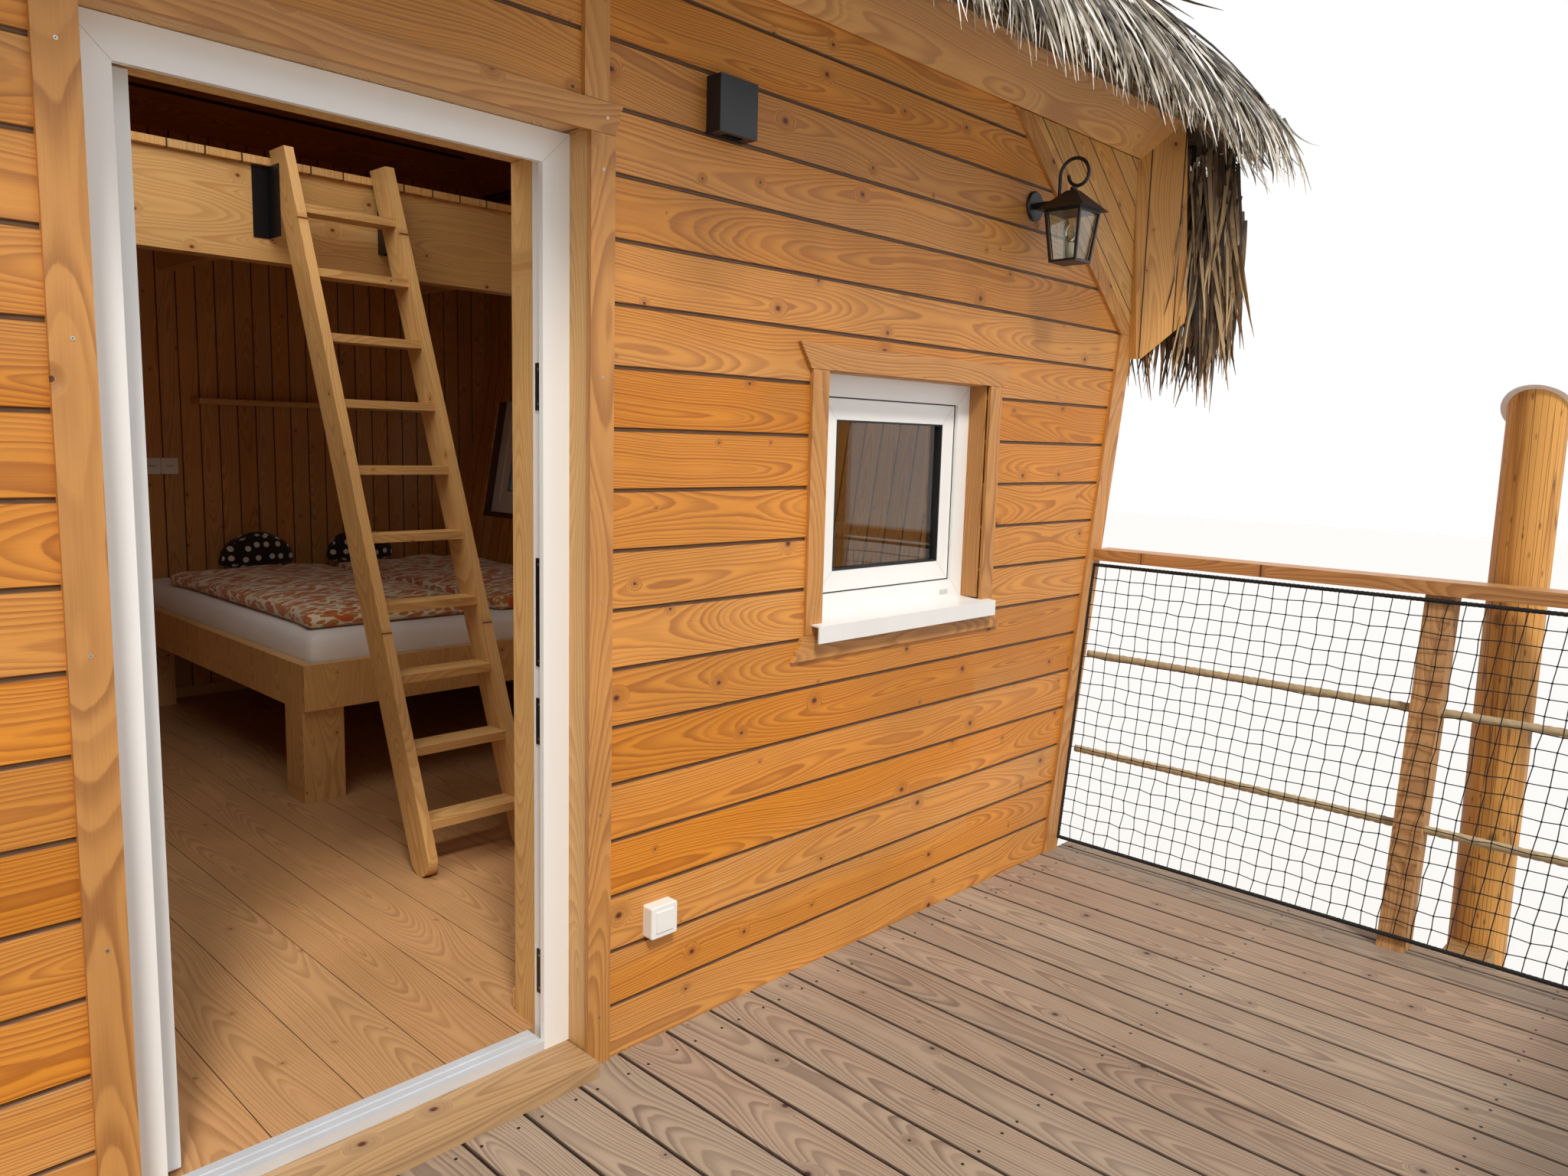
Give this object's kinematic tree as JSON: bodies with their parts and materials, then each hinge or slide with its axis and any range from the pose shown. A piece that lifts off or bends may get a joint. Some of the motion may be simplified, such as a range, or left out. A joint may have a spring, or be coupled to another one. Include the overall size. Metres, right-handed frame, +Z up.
{
  "type": "tree house",
  "caption": "Timber tree house on logs with outward-leaning side walls, a thatched hipped roof, a front deck with net railings, an open door and a furnished room with a loft.",
  "frame": {"origin": "on the ground, under the middle of the bounding box", "axes": "+X to the right along the front wall seen from the deck, +Y from the deck into the cabin, +Z up"},
  "size_m": [6.0276, 7.4172, 7.1606],
  "materials": {
    "spruce_logs": "debarked round logs, rough",
    "deck_log_wood": "debarked and oiled logs, satin",
    "structural_timber": "rough sawn",
    "deck_boards": "weathered planed boards, matte",
    "oak_floor": "laminate, satin",
    "larch_cladding": "oiled boards, satin",
    "larch_trim": "oiled boards, satin",
    "spruce_panel": "tongue and groove boards, satin",
    "palm_thatch": "dry leaves, matte",
    "white_frame": "extruded plastic, gloss",
    "window_glass": "clear",
    "grey_metal": "mill finish",
    "black_steel": "powder coated, satin",
    "white_plastic": "moulded, gloss",
    "spruce_joinery": "planed, satin",
    "pale_metal": "folded sheet, satin",
    "post_wood": "pressure treated, matte",
    "rail_wood": "oiled, satin",
    "hemp": "laid rope, matte",
    "net": "braided cord, matte",
    "mattress_ticking": "woven, matte",
    "duvet_cotton": "printed cotton, matte",
    "cushion_fabric": "printed plush, matte"
  },
  "bodies": {
    "cabin": {"back_wall": "larch_cladding", "bearers": "structural_timber", "bed_frame": "spruce_joinery", "cabin_floor": "oak_floor", "corner_boards": "larch_trim", "cushions": "cushion_fabric", "deck": "deck_boards", "deck_logs": "deck_log_wood", "door_frame": "white_frame", "door_hinges": "white_plastic", "door_lining": "spruce_joinery", "door_sill": "larch_trim", "door_threshold": "grey_metal", "door_trims": "larch_trim", "duvets": "duvet_cotton", "eave_skirts": "spruce_panel", "front_eave_boards": "larch_trim", "front_wall_left": "larch_cladding", "front_wall_middle": "larch_cladding", "front_wall_over_door": "larch_cladding", "front_wall_over_window": "larch_cladding", "front_wall_right": "larch_cladding", "front_wall_under_window": "larch_cladding", "gable_panels": "spruce_panel", "hanging_thatch": "palm_thatch", "hemp_ropes": "hemp", "hip_panels": "spruce_panel", "joists": "structural_timber", "ladder_brackets": "black_steel", "ladder_stringers": "spruce_joinery", "ladder_treads": "spruce_joinery", "lantern": "black_steel", "lantern_glass": "window_glass", "left_wall": "larch_cladding", "light_switch": "white_plastic", "loft_beams": "spruce_joinery", "loft_floor": "spruce_joinery", "log_caps": "pale_metal", "mattress": "mattress_ticking", "railing_front_nets": "net", "railing_posts": "post_wood", "railing_side_nets": "net", "ridge_cap": "palm_thatch", "right_wall": "larch_cladding", "roof_hips": "spruce_panel", "roof_slopes": "spruce_panel", "side_eave_boards": "larch_trim", "support_logs": "spruce_logs", "thatch_hips": "palm_thatch", "thatch_slopes": "palm_thatch", "top_rails": "rail_wood", "wall_lamp": "black_steel", "wall_shelf": "spruce_joinery", "window_frames": "white_frame", "window_glass": "window_glass", "window_sashes": "white_frame", "window_sills": "pale_metal", "window_trims": "larch_trim"},
    "door": {"door_leaf": "white_frame", "door_handle": "pale_metal"}
  },
  "joints": [
    {"name": "door_hinge", "type": "hinge", "parent": "cabin", "child": "door", "pos_m": [-0.7575, -0.9924, 3.24], "axis": [0, 0, 1], "range_deg": [-90, 0]}
  ]
}
